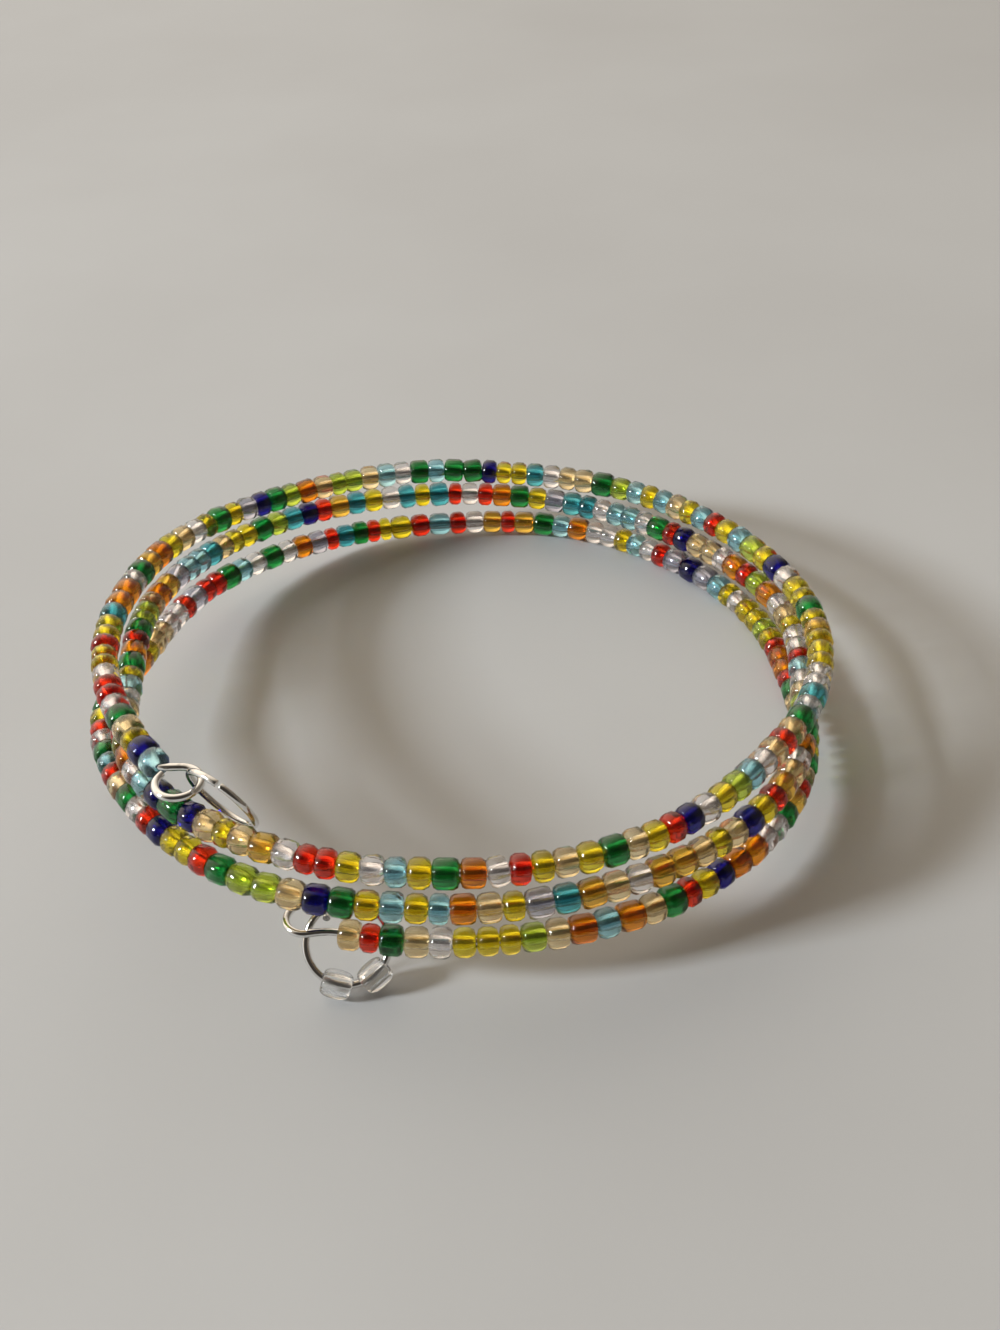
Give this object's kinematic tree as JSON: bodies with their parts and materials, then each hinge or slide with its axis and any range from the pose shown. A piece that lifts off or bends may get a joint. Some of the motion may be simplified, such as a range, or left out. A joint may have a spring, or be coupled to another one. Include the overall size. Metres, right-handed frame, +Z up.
{
  "type": "seed bead bracelet",
  "caption": "Spring-coil bracelet of hard wire strung with small translucent glass beads, an eye at each end of the wire, and a jump ring in each eye, one of them with two clear beads.",
  "frame": {"origin": "on the table, under the middle of the bracelet's box as it lies", "axes": "+Z up along the coil's axis, -Y towards the front, where the lower end of the wire is, +X to the right"},
  "size_m": [0.0628, 0.0636, 0.0152],
  "materials": {
    "spring_wire": "bright drawn wire",
    "seed_beads": "glossy translucent glass in mixed colours",
    "ring_wire": "bright plated wire",
    "clear_beads": "glossy clear glass"
  },
  "bodies": {
    "root": {"coil_wire": "spring_wire", "bead_string": "seed_beads", "lower_jump_ring": "ring_wire", "upper_jump_ring": "ring_wire", "drop_bead_1": "clear_beads", "drop_bead_2": "clear_beads"}
  },
  "joints": []
}
